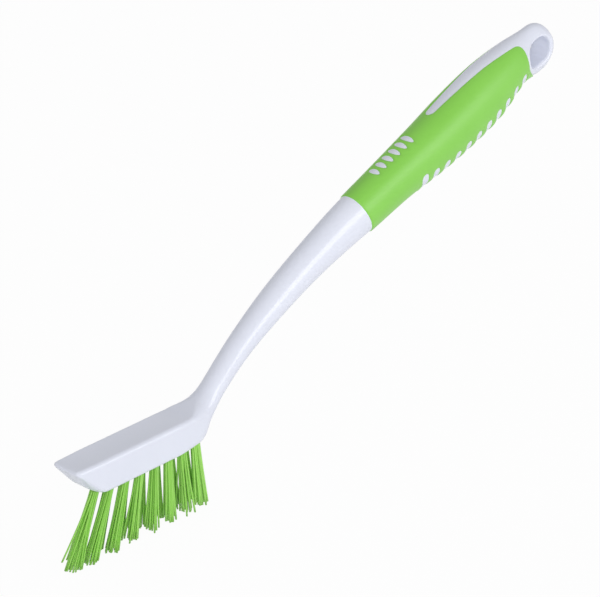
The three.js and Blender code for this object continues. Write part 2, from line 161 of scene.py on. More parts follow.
# Grip skin
SKIN_PROUD = 0.35
TONGUE_PROUD = 0.12
ISLAND_PROUD = 0.25
SKIN_SUNK = 0.6
SKIN_BACK = 1.2
SKIN_LIP = 0.8
RIB_FRONT_HEIGHT = 0.1
RIB_TAIL_HEIGHT = 0.36
SEAM_SHIFT = 0.6
SEAM_SLANT = 0.12
END_SHIFT = 0.4
END_CURVE = 0.075
END_CURVE_FROM = 1
END_TOP_LEAN = 0.15

# Lengths and heights that follow
HEAD_TOP_Z = BRISTLE_LENGTH + HEAD_HEIGHT
HEAD_MIDDLE_Z = BRISTLE_LENGTH + HEAD_HEIGHT / 2
LAST_TUFT_X = FIRST_TUFT_X + (TUFTS_NEAR - 1) * TUFT_PITCH
HEEL_X = LAST_TUFT_X + TUFT_HOLE / 2 + HEEL_WALL
BEND_START = HEEL_X - BEND_BEFORE_HEEL
BEND_END = BEND_START + BEND_RADIUS * NECK_ANGLE
NECK_ROOT_END = BEND_END + WIDTH_BLEND
SEAM_AT = BEND_END + NECK_LENGTH
TAIL_AT = SEAM_AT + GRIP_LENGTH
HOLE_AT = TAIL_AT + WALL_BEFORE_HOLE + HOLE_LENGTH / 2
LOOP_MIDDLE = HOLE_AT + LOOP_WIDEST_PAST_HOLE
LOOP_END = HOLE_AT + HOLE_LENGTH / 2 + WALL_PAST_HOLE
LOOP_ABOVE = HOLE_HEIGHT / 2 + HOLE_LIFT + WALL_ABOVE_HOLE
LOOP_BELOW = HOLE_HEIGHT / 2 - HOLE_LIFT + WALL_BELOW_HOLE
SLOT_PITCH = (GRIP_LENGTH - SLOT_FIRST_AT - SLOT_LAST_BEFORE_TAIL) / (SLOT_COUNT - 1)
TONGUE_START = SEAM_AT + MOON_FIRST_AT + (MOON_COUNT - 1) * MOON_PITCH + TONGUE_AFTER_MOONS
NOSE_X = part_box("handle")[0].x / MM


def mix(a, b, share):
    """Value between a and b."""
    return a + (b - a) * share


def smoothstep(low, high, value):
    """Eases from 0 at low to 1 at high."""
    t = np.clip((value - low) / (high - low), 0, 1)
    return t * t * (3 - 2 * t)


def smooth_min(a, b, reach):
    """Lower of a and b, rounded off where they come within reach of each other."""
    near = np.maximum(reach - np.abs(a - b), 0) / reach
    return np.minimum(a, b) - near * near * reach / 4


def smooth_max(a, b, reach):
    """Higher of a and b, rounded off where they come within reach of each other."""
    return -smooth_min(-a, -b, reach)


def curve_through(stations, s):
    """Smooth curve through (s, value) stations: cubic pieces with shared slopes, level past both ends."""
    at, value = stations.T
    slope = np.zeros_like(value)
    slope[1:-1] = (value[2:] - value[:-2]) / (at[2:] - at[:-2])
    s = np.clip(s, at[0], at[-1])
    k = np.clip(np.searchsorted(at, s, side="right") - 1, 0, len(at) - 2)
    span = at[k + 1] - at[k]
    t = (s - at[k]) / span
    ends = value[k] * (1 + 2 * t) * (1 - t) ** 2 + value[k + 1] * t * t * (3 - 2 * t)
    return ends + span * t * (1 - t) * (slope[k] * (1 - t) - slope[k + 1] * t)


# Path

PATH_ARCS = [
    (BEND_START, 0, 0),
    (BEND_END - BEND_START, 0, NECK_ANGLE),
    (NECK_LENGTH, NECK_ANGLE, GRIP_ANGLE),
    (GRIP_LENGTH - DROOP_BEFORE_TAIL, GRIP_ANGLE, TAIL_ANGLE),
    (LOOP_END - TAIL_AT + DROOP_BEFORE_TAIL, TAIL_ANGLE, TAIL_ANGLE - LOOP_DROOP),
]


def path_frame(s):
    """Angle, x and z of the path at length s: each arc adds the chord that its turn so far spans."""
    left = np.array(s, float)
    angle = np.zeros_like(left)
    x = np.zeros_like(left)
    z = np.full_like(left, HEAD_MIDDLE_Z)
    for length, start, end in PATH_ARCS:
        step = np.clip(left, 0, length)
        half_turn = (end - start) * step / length / 2
        chord = step * np.sinc(half_turn / np.pi)
        x += chord * np.cos(start + half_turn)
        z += chord * np.sin(start + half_turn)
        angle = np.where(step > 0, start + 2 * half_turn, angle)
        left = left - step
    return angle, x, z


def on_path(s, y, n):
    """Frame points at path length s, y across the brush and n above the path."""
    angle, x, z = path_frame(s)
    place = [NOSE_X + x - n * np.sin(angle), y, z + n * np.cos(angle)]
    return np.stack(np.broadcast_arrays(*place), -1)


# Sections of the white body

PROFILE = np.array(
    [(BEND_END + share * NECK_LENGTH, *sizes) for share, *sizes in NECK_PROFILE]
    + [(SEAM_AT + share * GRIP_LENGTH, *sizes) for share, *sizes in GRIP_PROFILE]
    + [(LOOP_MIDDLE, LOOP_ABOVE, LOOP_BELOW, LOOP_WIDTH)])
TOPS = PROFILE[:, [0, 1]]
UNDERSIDES = PROFILE[:, [0, 2]]
WIDTHS = PROFILE[:, [0, 3]]


def head_depth(x):
    """Depth of the head's under-face below the path: a raked nose that runs smoothly into the level
    face."""
    rake = x / math.tan(NOSE_RAKE) + NOSE_EDGE - HEAD_HEIGHT / 2
    return smooth_min(HEAD_HEIGHT / 2, rake, NOSE_ROUNDING)


def loop_end_share(s):
    """Share of the section that is left on the round end of the loop."""
    past = np.clip((s - LOOP_MIDDLE) / (LOOP_END - LOOP_MIDDLE), 0, 1)
    return (1 - past ** LOOP_END_POWER) ** (1 / LOOP_END_POWER)


def body_section(s):
    """Reach above and below the path, half width, and roundness (0 boxy, 1 oval) of the body at s."""
    angle, x, z = path_frame(s)
    top = curve_through(TOPS, s)
    underside = curve_through(UNDERSIDES, s)
    handle = (top + underside) / 2 * loop_end_share(s)
    handle_above = handle + (top - underside) / 2
    handle_below = handle - (top - underside) / 2
    handle_width = curve_through(WIDTHS, s) * np.sqrt(loop_end_share(s))
    into_bend = smoothstep(BEND_START, BEND_END, s)
    narrowing = smoothstep(BEND_START + NARROW_AFTER_BEND_START, NECK_ROOT_END, s)
    to_top = (HEAD_TOP_Z - z) / np.cos(angle)
    to_bottom = (z - BRISTLE_LENGTH) / np.cos(angle)
    to_heel = (HEEL_X - x) * math.sin(HEEL_ANGLE) - (BRISTLE_LENGTH - z) * math.cos(HEEL_ANGLE)
    heel = smooth_min(to_bottom, to_heel / np.cos(HEEL_ANGLE - angle), HEEL_ROUNDING)
    bend_above = smooth_max(to_top, handle_above, TOP_BLEND * into_bend + UNDER_BLEND)
    bend_below = np.where(s > NECK_ROOT_END, handle_below, smooth_max(heel, handle_below, UNDER_BLEND))
    above = np.where(s > BEND_START, bend_above, to_top)
    below = np.where(s > BEND_START, bend_below, head_depth(s))
    half = mix(HEAD_WIDTH, handle_width, narrowing) / 2
    roundness = smoothstep(BEND_START + ROUND_AFTER_BEND_START, BEND_END + ROUND_PAST_BEND, s)
    return round_nose(s, above, below, half) + (roundness,)


def round_nose(s, above, below, half):
    """Section of the head with a rolled nose edge and rounded plan corners within the first millimetre."""
    roll = np.sqrt(np.clip(1 - (1 - s / NOSE_TIP) ** 2, 0, 1)) * NOSE_TIP
    middle = HEAD_HEIGHT / 2 - NOSE_TIP
    above = np.where(s < NOSE_TIP, middle + roll, above)
    touch = NOSE_TIP * (1 - math.cos(NOSE_RAKE))
    below = np.where(s < touch, roll - middle, below)
    corner = np.clip(1 - s / NOSE_CORNER, 0, 1)
    half = half - NOSE_CORNER * (1 - np.sqrt(1 - corner ** 2))
    return above, below, half


def half_width_at(s, n):
    """Half width of the oval body at path length s and height n over the path."""
    above, below, half, _ = body_section(s)
    middle = (above - below) / 2
    share = (n - middle) / np.maximum((above + below) / 2, TINY)
    return half * np.sqrt(np.clip(1 - share * share, 0, 1))


OUTLINE_STEPS = 64
WELD = 0.002


def section_rings(s, count):
    """Rings of count points round the body, as (y, n) arrays that start at the top and go round by +Y.

    A ring is a box with elliptical corners, stepped from top to bottom on one side, resampled to even
    spacing along its own length, and mirrored. Towards the nose the lower corners open out to a keel. The
    head flares a little towards its top, which has a shallow dish.
    """
    above, below, half, roundness = body_section(s)
    height = above + below
    edge = np.minimum(HEAD_EDGE, THIN_EDGE_SHARE * height)
    keel = 1 - smoothstep(0, NOSE_KEEL_RUN, s)
    radius_y = mix(edge, half, roundness)[:, None]
    radius_n = mix(edge, height / 2, roundness)[:, None]
    under = np.maximum(roundness, smoothstep(BEND_START - UNDER_ROUND_BEFORE_BEND, BEND_END, s))
    low_y = mix(mix(edge, half, under), half, keel)[:, None]
    low_radius = mix(mix(edge, height / 2, under), NOSE_KEEL_SHARE * (height - edge), keel)[:, None]
    turn = np.linspace(np.pi / 2, 0, OUTLINE_STEPS)
    top_y = half[:, None] - radius_y * (1 - np.cos(turn))
    corner_y = half[:, None] - low_y * (1 - np.cos(turn))
    top_n = above[:, None] - radius_n * (1 - np.sin(turn))
    low_n = low_radius * (1 - np.sin(turn)) - below[:, None]
    middle = np.zeros((len(s), 1))
    y = np.concatenate([middle, top_y, corner_y[:, ::-1], middle], 1)
    n = np.concatenate([above[:, None], top_n, low_n[:, ::-1], -below[:, None]], 1)
    flare = HEAD_FLARE * (1 - under) * (1 - keel)
    y = y * (1 + flare[:, None] * (n + below[:, None]) / np.maximum(height, WELD)[:, None])
    run = np.cumsum(np.hypot(np.diff(y, axis=1), np.diff(n, axis=1)), axis=1)
    run = np.concatenate([middle, run], 1)
    even = run[:, -1:] * np.linspace(0, 1, count // 2 + 1)
    y = np.stack([np.interp(*row) for row in zip(even, run, y)])
    n = np.stack([np.interp(*row) for row in zip(even, run, n)])
    y[:, [0, -1]] = 0
    dish = smoothstep(0, DISH_RUN_IN, s) * (1 - smoothstep(BEND_START - DISH_RUN_IN, BEND_START, s))
    flat = np.maximum((half * (1 + flare))[:, None] - radius_y, WELD)
    hollow = HEAD_DISH * dish[:, None] * np.clip(1 - (y / flat) ** 2, 0, 1)
    n = n - np.where(n > above[:, None] - WELD, hollow, 0)
    return np.concatenate([y, -y[:, -2:0:-1]], 1), np.concatenate([n, n[:, -2:0:-1]], 1)


# Meshes

def lattice(rows, columns, closed=True):
    """Quads of a grid of points numbered row by row; closed joins its last column to its first."""
    row = np.arange(rows - 1)[:, None] * columns
    column = np.arange(columns if closed else columns - 1)
    after = (column + 1) % columns
    corners = [row + column, row + after, row + columns + after, row + columns + column]
    return np.stack(corners, -1).reshape(-1, 4)


def add_object(name, data):
    """Object that shows data in the scene."""
    item = bpy.data.objects.new(name, data)
    bpy.context.scene.collection.objects.link(item)
    return item


def add_piece(name, points, faces, material, replaced):
    """Closed smooth mesh of points in millimetres, welded and turned outwards, in place of CAD nodes."""
    mesh = bpy.data.meshes.new(name)
    mesh.from_pydata(points.reshape(-1, 3) * MM, [], faces)
    work = bmesh.new()
    work.from_mesh(mesh)
    bmesh.ops.remove_doubles(work, verts=work.verts, dist=WELD * MM)
    bmesh.ops.recalc_face_normals(work, faces=work.faces)
    work.to_mesh(mesh)
    work.free()
    mesh.shade_smooth()
    mesh.materials.append(material)
    piece = add_object(name, mesh)
    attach(piece, "root")
    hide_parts(*replaced)
    return piece


# White body

BODY_POINTS = 160
BODY_FINE_STEP = 0.4
BODY_STEP = 1.0
NOSE_RINGS = 9
NOSE_FIRST_TURN = 0.1
LOOP_CUT_BEFORE_TAIL = 1
LOOP_CUT = TAIL_AT - LOOP_CUT_BEFORE_TAIL
OUTLINE_STEP = 0.4
FACE_STEPS = 16
RIM_STEPS = 6
WALL_STEPS = 8
TUFT_HOLE_RIM = 0.25
TUFT_HOLE_DEPTH = 3
UNDER_FACE_BAND = 0.5
RIB_FADE_FROM = 0.2
RIB_FADE_TO = 0.65
RIB_RUN_IN = 2


def along_rows(x):
    """Share of the way from the first tuft to the last."""
    return (x - FIRST_TUFT_X) / (LAST_TUFT_X - FIRST_TUFT_X)


def lean_at(x):
    """Lean of a tuft at x: forwards at the nose, easing to a little backwards at the heel."""
    return mix(REAR_LEAN, FRONT_LEAN, 0.5 + 0.5 * np.cos(np.pi * along_rows(x) ** LEAN_EASING))


def tuft_row(side, count, shift):
    """Roots of a row of tufts on the under-face, as x, y, z, lean and height of the tips. The middle of the
    near row sits a little further back."""
    x = FIRST_TUFT_X + (np.arange(count) + shift) * TUFT_PITCH
    x = x + np.where(side < 0, NEAR_ROW_DRIFT * np.sin(np.pi * along_rows(x)), 0)
    y = np.full(count, side * ROW_GAP / 2)
    trim = FRONT_TRIM * np.clip(1 - along_rows(x) / FRONT_TRIM_SHARE, 0, 1)
    tip_z = TIP_RISE * along_rows(x) + trim
    return np.stack([x, y, HEAD_MIDDLE_Z - head_depth(x), lean_at(x), tip_z], -1)


near_row = tuft_row(-1, TUFTS_NEAR, 0)
far_row = tuft_row(1, TUFTS_NEAR - 1, FAR_ROW_SHIFT)


def drill_tuft_holes(s, y, n):
    """Heights n of the body's rings with a thin band at the under-face pushed up inside each tuft hole."""
    under = n < UNDER_FACE_BAND - head_depth(s)[:, None]
    in_head = (s < HEEL_X)[:, None]
    for x, tuft_y, *_ in np.concatenate([near_row, far_row]):
        off = np.hypot(s[:, None] - x, y - tuft_y)
        inside = 1 - smoothstep(TUFT_HOLE / 2 - TUFT_HOLE_RIM, TUFT_HOLE / 2 + TUFT_HOLE_RIM, off)
        n = n + np.where(under & in_head, TUFT_HOLE_DEPTH * inside, 0)
    return n


def body_stations():
    """Path lengths of the body's rings: close at the nose and head, wider along neck and grip."""
    roll = NOSE_CORNER * (1 - np.cos(np.linspace(NOSE_FIRST_TURN, np.pi / 2, NOSE_RINGS)))
    head = np.arange(NOSE_CORNER + BODY_FINE_STEP, NECK_ROOT_END, BODY_FINE_STEP)
    handle = np.linspace(NECK_ROOT_END, LOOP_CUT, round((LOOP_CUT - NECK_ROOT_END) / BODY_STEP))
    return np.concatenate([roll, head, handle])


def loop_outline(cut_n):
    """Outline of the loop as (s, n): down the cut, back under the loop, round its end and over its top."""
    under = np.linspace(LOOP_CUT, LOOP_MIDDLE, round((LOOP_MIDDLE - LOOP_CUT) / OUTLINE_STEP))
    end_steps = round(np.pi * (LOOP_ABOVE + LOOP_BELOW) / 2 / OUTLINE_STEP)
    turn = np.linspace(-np.pi / 2, np.pi / 2, end_steps)
    past = np.maximum(np.cos(turn), 0) ** (2 / LOOP_END_POWER)
    aside = np.sign(np.sin(turn)) * np.abs(np.sin(turn)) ** (2 / LOOP_END_POWER)
    end_s = LOOP_MIDDLE + (LOOP_END - LOOP_MIDDLE) * past
    end_n = mix(-LOOP_BELOW, LOOP_ABOVE, 0.5 + 0.5 * aside)
    low_n = -curve_through(UNDERSIDES, under)
    top_n = curve_through(TOPS, under)
    s = np.concatenate([np.full(len(cut_n), LOOP_CUT), under[1:-1], end_s, under[-2:0:-1]])
    n = np.concatenate([cut_n, low_n[1:-1], end_n, top_n[-2:0:-1]])
    return s, n


def hole_reach(along, up):
    """Distance from the hole's centre to its wall, a slot with round ends, in the direction (along, up)."""
    radius = HOLE_HEIGHT / 2
    straight = HOLE_LENGTH / 2 - radius
    to_side = radius / np.maximum(np.abs(up), TINY)
    to_end = straight * np.abs(along) + np.sqrt(np.maximum(radius ** 2 - (straight * up) ** 2, 0))
    return np.where(to_side * np.abs(along) < straight, to_side, to_end)


def loop_surface(cut_y, cut_n):
    """Loop round the hang hole: for each outline point, a profile from the outline over the face, round the
    rim, through the hole and back on the other side."""
    s, n = loop_outline(cut_n)
    along, up = s - HOLE_AT, n - HOLE_LIFT
    out = np.hypot(along, up)
    along, up = along / out, up / out
    hole = hole_reach(along, up)
    spread = np.linspace(0, 1, FACE_STEPS) ** 2
    turn = np.linspace(0, np.pi / 2, RIM_STEPS + 1)[1:]
    face = out[:, None] + (hole + HOLE_RIM - out)[:, None] * spread
    rim = hole[:, None] + HOLE_RIM * (1 - np.sin(turn))
    reach = np.concatenate([face, rim], 1)
    rim_drop = np.concatenate([np.zeros(FACE_STEPS), HOLE_RIM * (1 - np.cos(turn))])
    flat = np.maximum(reach, (hole + HOLE_RIM)[:, None])
    y = half_width_at(HOLE_AT + along[:, None] * flat, HOLE_LIFT + up[:, None] * flat) - rim_drop
    y[:, 0] = 0
    y[: len(cut_y), 0] = cut_y
    wall = np.linspace(1, -1, WALL_STEPS + 1)[1:-1]
    reach = np.concatenate([reach, np.repeat(hole[:, None], len(wall), 1), reach[:, ::-1]], 1)
    y = np.concatenate([y, y[:, -1:] * wall, -y[:, ::-1]], 1)
    return on_path(HOLE_AT + along[:, None] * reach, y, HOLE_LIFT + up[:, None] * reach)


def ribbed_share(s, n, below):
    """How far a point lies in the ribbed underside of the grip, 0 to 1."""
    first = SEAM_AT + SLOT_FIRST_AT - SLOT_PITCH / 2
    last = TAIL_AT - SLOT_LAST_BEFORE_TAIL + SLOT_WIDTH / 2
    along = smoothstep(first - RIB_RUN_IN, first, s) * (1 - smoothstep(last, LOOP_CUT, s))
    return along * smoothstep(RIB_FADE_FROM, RIB_FADE_TO, -n / below)


def pushed_out(y, n, height):
    """Ring points moved out by height, square to the ring."""
    along_y = np.roll(y, -1, 1) - np.roll(y, 1, 1)
    along_n = np.roll(n, -1, 1) - np.roll(n, 1, 1)
    length = np.hypot(along_y, along_n)
    return y - height * along_n / length, n + height * along_y / length


def white_body():
    """Body: rings of the section carried along the path from the nose, closed by the loop round the hole.
    Under the ribs of the grip the body stands up a little, to fill the slots between them."""
    s = body_stations()
    y, n = section_rings(s, BODY_POINTS)
    _, below, _, _ = body_section(s)
    y, n = pushed_out(y, n, ISLAND_PROUD * ribbed_share(s[:, None], n, below[:, None]))
    rings = on_path(s[:, None], y, drill_tuft_holes(s, y, n))
    cut = slice(0, BODY_POINTS // 2 + 1)
    loop = loop_surface(y[-1, cut], n[-1, cut])
    ring_faces = lattice(len(s), BODY_POINTS).tolist()
    nose_cap = [list(range(BODY_POINTS))]
    rows, columns = loop.shape[:2]
    loop = np.concatenate([loop, loop[:1]])
    loop_faces = lattice(rows + 1, columns, closed=False) + rings.size // 3
    points = np.concatenate([rings.reshape(-1, 3), loop.reshape(-1, 3)])
    return points, ring_faces + nose_cap + loop_faces.tolist()


# Grip skin

SKIN_POINTS = 232
SLOT_STEPS = 20
SKIN_LEAD = 1.2
SKIN_PAST = 0.4
END_RUN = 14
FAR = 1e3
BACK_EVERY = 12
FINE_RINGS = 600
FINE_PAST = 0.1
SLOTS_STAY_UNDER = 1
MOON_BULGE = 1
MOON_CORNER = 1.2


def moon_edge(s, y):
    """Distance outside the nearest half moon: an ellipse cut off by a slightly bulging edge on the neck's
    side."""
    nearest = np.full(np.broadcast(s, y).shape, FAR)
    for i in range(MOON_COUNT):
        half = mix(MOON_FIRST_WIDTH, MOON_LAST_WIDTH, i / (MOON_COUNT - 1)) / 2
        foot = SEAM_AT + MOON_FIRST_AT + i * MOON_PITCH - MOON_LENGTH / 2
        oval = np.hypot((s - foot) / MOON_LENGTH, y / half)
        bulge = MOON_BULGE * np.clip(1 - (y / half) ** 2, 0, 1)
        edge = smooth_max((oval - 1) * MOON_LENGTH, foot - bulge - s, MOON_CORNER)
        nearest = np.minimum(nearest, edge)
    return nearest


def slot_edge(s, n):
    """Distance outside the nearest slot: a round-topped slot that runs down and under the grip. The slots'
    tops lie on a hanging line that rises to both ends."""
    i = np.clip(np.round((s - SEAM_AT - SLOT_FIRST_AT) / SLOT_PITCH), 0, SLOT_COUNT - 1)
    off = s - SEAM_AT - SLOT_FIRST_AT - i * SLOT_PITCH
    along = i / (SLOT_COUNT - 1)
    rise = SLOT_FRONT_RISE * (1 - along) ** SLOT_FRONT_EASING + SLOT_TAIL_RISE * along ** SLOT_TAIL_EASING
    over = np.maximum(n + SLOT_TOP_DEPTH - rise + SLOT_WIDTH / 2, 0)
    return np.hypot(off, over) - SLOT_WIDTH / 2


def end_lean(n):
    """How far the skin's end runs on past the tail: it leans on above the middle of the grip, and curves
    away below it."""
    return END_SHIFT + END_TOP_LEAN * np.maximum(n, 0) + END_CURVE * np.maximum(END_CURVE_FROM - n, 0) ** 2


def tongue_edge(s, y):
    """Distance outside the white tongue by the spine, which widens towards the tail from a round tip that
    lies a little to the far side."""
    along = np.clip((s - TONGUE_START) / (TAIL_AT - TONGUE_START), 0, 1)
    half = mix(TONGUE_TIP_WIDTH, TONGUE_TAIL_WIDTH, along) / 2
    tip = np.maximum(TONGUE_START + TONGUE_TIP_LENGTH - s, 0) / TONGUE_TIP_LENGTH
    middle = mix(TONGUE_TIP_OFFSET, TONGUE_TAIL_OFFSET, along)
    return np.hypot(y - middle, half * tip) - half


def skin_height(s, y, n, below):
    """Height of the skin over the plain body: a rounded lip along every edge, thinner beside the tongue,
    with ribs between the slots. The lip is a quarter of an oval that comes up through the body at the
    edge."""
    top = np.where(n > 0, moon_edge(s, y), FAR)
    tail = TAIL_AT + end_lean(n) - s
    end = np.where(n > 0, smooth_min(tongue_edge(s, y), tail, TONGUE_CORNER), tail)
    low = np.where(n < SLOTS_STAY_UNDER, slot_edge(s, n), FAR)
    seam = s - SEAM_AT - SEAM_SHIFT + SEAM_SLANT * n
    inside = np.minimum(np.minimum(top, low), np.minimum(end, seam))
    under = ribbed_share(s, n, below)
    beside = smoothstep(TONGUE_START, TAIL_AT, s) * (n > 0) * smoothstep(0, below, n)
    rise = mix(SKIN_PROUD, TONGUE_PROUD, beside) + SKIN_SUNK
    edge = 1 - np.sqrt(1 - ((SKIN_SUNK + ISLAND_PROUD * under) / rise) ** 2)
    lip = np.clip(inside / SKIN_LIP + edge, 0, 1)
    height = rise * np.sqrt(1 - (1 - lip) ** 2) - SKIN_SUNK
    phase = (s - SEAM_AT - SLOT_FIRST_AT) / SLOT_PITCH
    ribbed = (phase > -0.5) & (phase < SLOT_COUNT - 0.5)
    crest = mix(RIB_FRONT_HEIGHT, RIB_TAIL_HEIGHT, np.clip(phase / SLOT_COUNT, 0, 1))
    rib = np.where(ribbed, crest * (1 - np.cos(2 * np.pi * phase)) / 2, 0)
    return height + rib * under * lip


def leaning_rings(s):
    """Rings of the body whose last stretch leans with the skin's end: each point slides along its own line
    of the body, as s, y, n and the body's reach below the path there."""
    y, n = section_rings(s, SKIN_POINTS)
    slid = s[:, None] + smoothstep(TAIL_AT - END_RUN, TAIL_AT, s)[:, None] * end_lean(n)
    fine = np.linspace(s[0], slid.max() + FINE_PAST, FINE_RINGS)
    fine_y, fine_n = section_rings(fine, SKIN_POINTS)
    _, below, _, _ = body_section(fine)
    y = np.stack([np.interp(at, fine, line) for at, line in zip(slid.T, fine_y.T)], -1)
    n = np.stack([np.interp(at, fine, line) for at, line in zip(slid.T, fine_n.T)], -1)
    return slid, y, n, np.interp(slid, fine, below)


def grip_skin():
    """Skin: the body's rings pushed out by the skin's height, with a back layer just inside the body."""
    step = SLOT_PITCH / SLOT_STEPS
    first = SEAM_AT + SLOT_FIRST_AT
    lead = math.ceil((SLOT_FIRST_AT + SKIN_LEAD) / step)
    s = first + np.arange(-lead, (TAIL_AT + SKIN_PAST - first) / step) * step
    at, y, n, below = leaning_rings(s)
    outer = on_path(at, *pushed_out(y, n, skin_height(at, y, n, below)))
    back = slice(None, None, -BACK_EVERY)
    inner = on_path(at[back], *pushed_out(y[back], n[back], -SKIN_BACK))
    front = on_path(at[:1], *pushed_out(y[:1], n[:1], -SKIN_BACK))
    rings = np.concatenate([outer, inner, front, outer[:1]])
    return rings, lattice(len(rings), SKIN_POINTS).tolist()


# Bristle tufts

STRANDS = 24
STRAND_RADIUS = 0.34
STRAND_SIDES = 6
STRAND_STEPS = 6
STRAND_SEED = 11
ROOT_REACH = 1.4
ROOT_DEPTH = 1.6
ROOT_JITTER = 0.06
TIP_SPREAD = 1.75
TIP_SPLAY = 0.4
STRAY_SHARE = 0.09
STRAY_SPLAY = 1.2
RAGGED_TIPS = 1.1
SHORT_SHARE = 0.16
SHORT_BY = 2.4
FRONT_STRAY_SPLAY = 3.8
FRONT_STRAY_SHORT = 4
STRAND_BOW = 1.35
# Share of the strands' tone that is painted shade: darker at the nose, lighter at the heel
PAINTED_SHADE_SHARE = 0.5

draw = np.random.default_rng(STRAND_SEED)


def tuft_strands(tuft):
    """Centre lines of a tuft's strands: a sunflower pattern at the root, splayed at random towards the
    tips. One short strand stands out in front of the first tuft."""
    x, y, z, lean, tip_z = tuft
    i = np.arange(STRANDS)
    reach = ROOT_REACH * np.sqrt((i + 0.5) / STRANDS)
    turn = i * np.pi * (3 - math.sqrt(5)) + draw.uniform(0, 2 * np.pi)
    root = np.stack([reach * np.cos(turn), reach * np.sin(turn)], -1)
    root = root + draw.normal(0, ROOT_JITTER, (STRANDS, 2))
    stray = draw.random((STRANDS, 1)) < STRAY_SHARE
    splay = draw.normal(0, 1, (STRANDS, 2)) * np.where(stray, STRAY_SPLAY, TIP_SPLAY)
    tip = root * TIP_SPREAD + splay
    ragged = RAGGED_TIPS * draw.random(STRANDS) ** 2
    short = np.where(draw.random(STRANDS) < SHORT_SHARE, SHORT_BY * draw.random(STRANDS), 0)
    if x == FIRST_TUFT_X:
        front = np.argmin(root[:, 0])
        tip[front, 0] -= FRONT_STRAY_SPLAY
        short[front] = FRONT_STRAY_SHORT
    low = tip_z + ragged + short
    share = np.linspace(0, 1, STRAND_STEPS + 1)
    height = mix(z + ROOT_DEPTH, low[:, None], share)
    bow = (share ** STRAND_BOW)[None, :, None]
    across = mix(root[:, None], tip[:, None], bow)
    line_x = x + across[..., 0] - (z - height) * math.tan(lean)
    line_y = y + across[..., 1]
    return np.stack([line_x, line_y, height], -1)


def tufts(row):
    """Strands of a row of tufts: a six-sided ring carried along each centre line, with a cut end. Each
    strand has its own tone, mixed with painted shade that darkens the strands towards the nose and
    lightens them towards the heel."""
    lines = np.concatenate([tuft_strands(tuft) for tuft in row])
    turn = np.linspace(0, 2 * np.pi, STRAND_SIDES, endpoint=False)
    turn = turn + draw.uniform(0, 1, (len(lines), 1))
    ring = np.stack([np.cos(turn), np.sin(turn), np.zeros_like(turn)], -1) * STRAND_RADIUS
    points = lines[:, :, None] + ring[:, None]
    points[..., 0] += NOSE_X
    one = lattice(STRAND_STEPS + 1, STRAND_SIDES).tolist()
    last = STRAND_STEPS * STRAND_SIDES
    ends = [list(range(STRAND_SIDES)), list(range(last, last + STRAND_SIDES))]
    size = (STRAND_STEPS + 1) * STRAND_SIDES
    faces = [[k * size + i for i in face] for k in range(len(lines)) for face in one + ends]
    own_tone = draw.random(len(lines))
    # Painted shade: part of each strand's tone follows its place along the rows, darker at the nose and
    # lighter at the heel
    tone = mix(own_tone, np.clip(along_rows(lines[:, 0, 0]), 0, 1), PAINTED_SHADE_SHARE)
    return points, faces, np.repeat(tone, size)


# Materials

def linear(hex_colour):
    """Linear colour of an sRGB hex value."""
    channels = [int(hex_colour[i:i + 2], 16) / 255 for i in (1, 3, 5)]
    return [c / 12.92 if c <= 0.04045 else ((c + 0.055) / 1.055) ** 2.4 for c in channels] + [1]


def add_node(tree, kind, inputs=None, **settings):
    """Adds a node: settings are its properties, inputs its sockets' values or the sockets feeding them."""
    node = tree.nodes.new(kind)
    for name, value in settings.items():
        setattr(node, name, value)
    for name, value in (inputs or {}).items():
        if isinstance(value, bpy.types.NodeSocket):
            tree.links.new(value, node.inputs[name])
        else:
            node.inputs[name].default_value = value
    return node


def empty_tree(owner):
    """Cleared node tree of a material or a world."""
    owner.use_nodes = True
    owner.node_tree.nodes.clear()
    return owner.node_tree


def new_material(name):
    """Material with its node tree, and the object's own coordinates in it."""
    material = bpy.data.materials.new(name)
    tree = empty_tree(material)
    place = add_node(tree, "ShaderNodeTexCoord").outputs["Object"]
    return material, tree, place


def per_metre(size_mm):
    """Scale of a noise whose blobs are size_mm across."""
    return 1 / (size_mm * MM)


def moulded_polypropylene():
    """White polypropylene from a polished mould: glossy, faintly clouded where the melt flowed. A sharp
    coat over a softer base stands for the skin that the mould leaves."""
    material, tree, place = new_material("moulded_polypropylene")
    flow = add_node(tree, "ShaderNodeTexNoise", {"Vector": place, "Scale": per_metre(30), "Detail": 3})
    tone = add_node(tree, "ShaderNodeMix", {"Factor": flow.outputs["Fac"]}, data_type="RGBA")
    tone.inputs["A"].default_value = linear("#e4e8f6")
    tone.inputs["B"].default_value = linear("#ebeefb")
    polish = add_node(tree, "ShaderNodeTexNoise", {"Vector": place, "Scale": per_metre(6), "Detail": 4})
    rough = add_node(tree, "ShaderNodeMapRange", {
        "Value": polish.outputs["Fac"], "To Min": 0.42, "To Max": 0.52})
    peel = add_node(tree, "ShaderNodeTexNoise", {"Vector": place, "Scale": per_metre(1.6), "Detail": 2})
    bump = add_node(tree, "ShaderNodeBump", {
        "Height": peel.outputs["Fac"], "Distance": 0.0008 * MM, "Strength": 0.5})
    shader = add_node(tree, "ShaderNodeBsdfPrincipled", {
        "Base Color": tone.outputs["Result"],
        "Roughness": rough.outputs["Result"],
        "Normal": bump.outputs["Normal"],
        "IOR": 1.49,
        "Subsurface Weight": 0.1,
        "Subsurface Radius": (1, 1, 1),
        "Subsurface Scale": 1 * MM,
        "Coat Weight": 0.28,
        "Coat IOR": 2.2,
        "Coat Roughness": 0.09,
    })
    add_node(tree, "ShaderNodeOutputMaterial", {"Surface": shader.outputs["BSDF"]})
    return material


